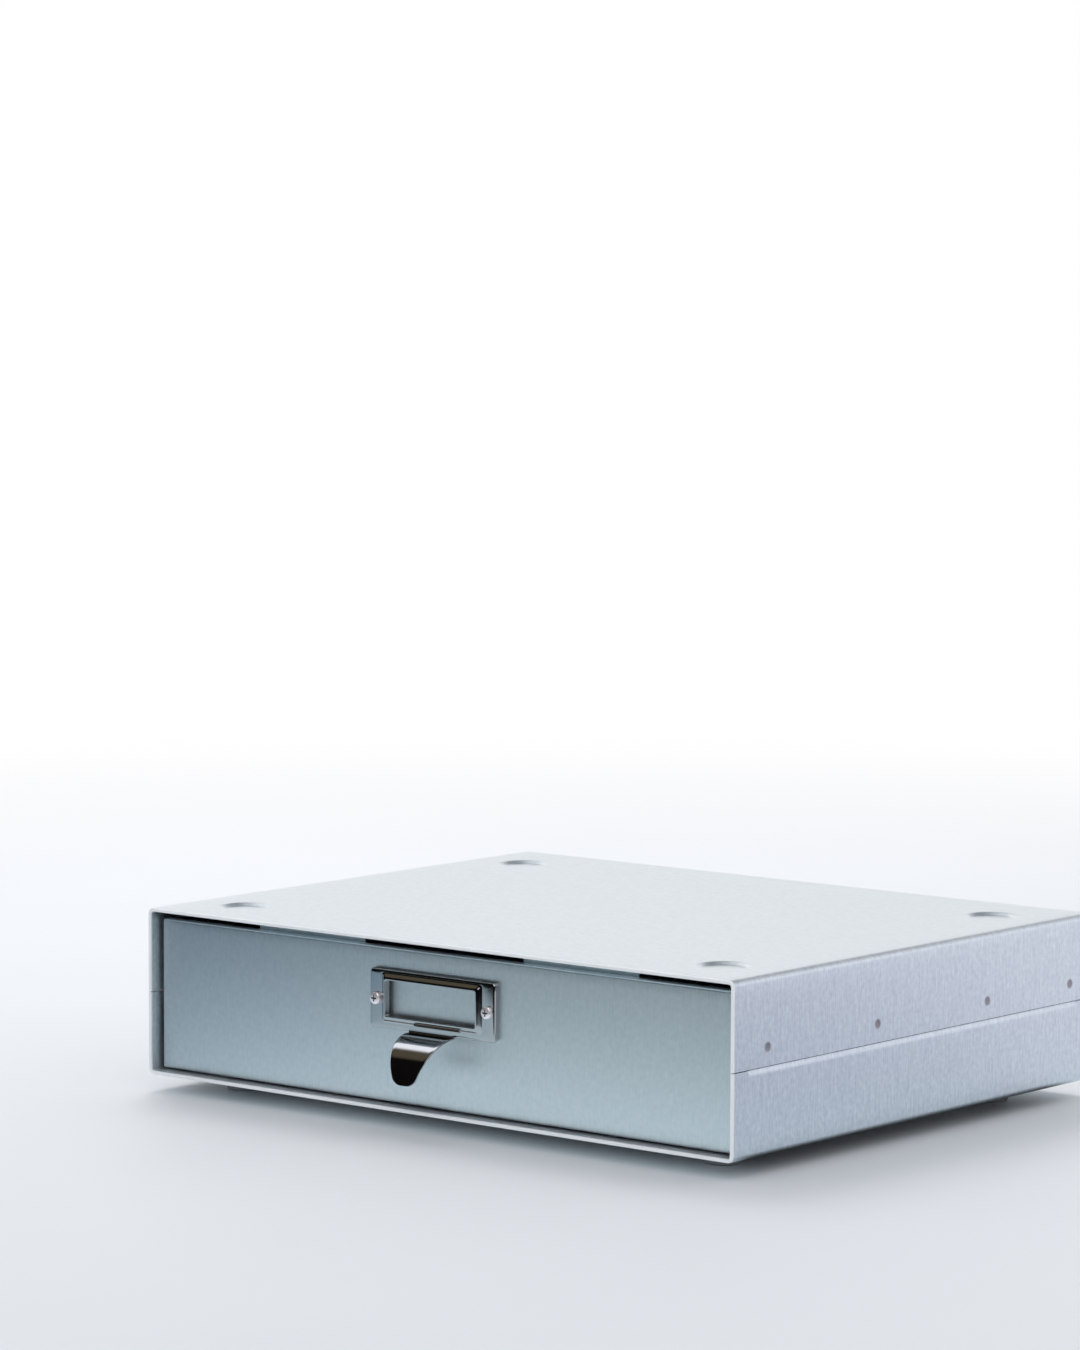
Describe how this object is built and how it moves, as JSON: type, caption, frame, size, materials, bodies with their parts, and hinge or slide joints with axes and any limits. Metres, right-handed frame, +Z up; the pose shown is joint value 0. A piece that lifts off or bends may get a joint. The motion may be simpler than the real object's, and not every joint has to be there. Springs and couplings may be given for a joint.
{
  "type": "desktop drawer case",
  "caption": "Low stackable desk drawer case in zinc-coated sheet steel, with a chrome label holder and pull on the drawer front.",
  "frame": {"origin": "middle of the whole object's footprint box (pull included), in the plane the feet stand on", "axes": "+X to the right seen from the front, +Y to the rear, +Z up; the drawer opens towards -Y"},
  "size_m": [0.35, 0.296, 0.088],
  "materials": {
    "zinc_steel": "satin",
    "chrome_plate": "polished",
    "foot_rubber": "matte",
    "buffer_rubber": "matte",
    "glide_nylon": "matte",
    "adhesive_foam": "matte"
  },
  "bodies": {
    "casing": {"casing_top_shell": "zinc_steel", "casing_base_shell": "zinc_steel", "casing_back_panel": "zinc_steel", "foot_adhesive_pads": "adhesive_foam", "foot_front_left": "foot_rubber", "foot_front_right": "foot_rubber", "foot_rear_left": "foot_rubber", "foot_rear_right": "foot_rubber", "glide_strip_left": "glide_nylon", "glide_strip_right": "glide_nylon", "rear_buffer_left": "buffer_rubber", "rear_buffer_right": "buffer_rubber"},
    "drawer": {"drawer_body": "zinc_steel", "drawer_back_wall": "zinc_steel", "drawer_front_panel": "zinc_steel", "label_holder_pull": "chrome_plate", "label_screw_left": "chrome_plate", "label_screw_right": "chrome_plate", "label_nut_left": "zinc_steel", "label_nut_right": "zinc_steel"}
  },
  "joints": [
    {"name": "drawer_slide", "type": "slide", "parent": "casing", "child": "drawer", "axis": [0, -1, 0], "range_m": [0, 0.259]}
  ]
}
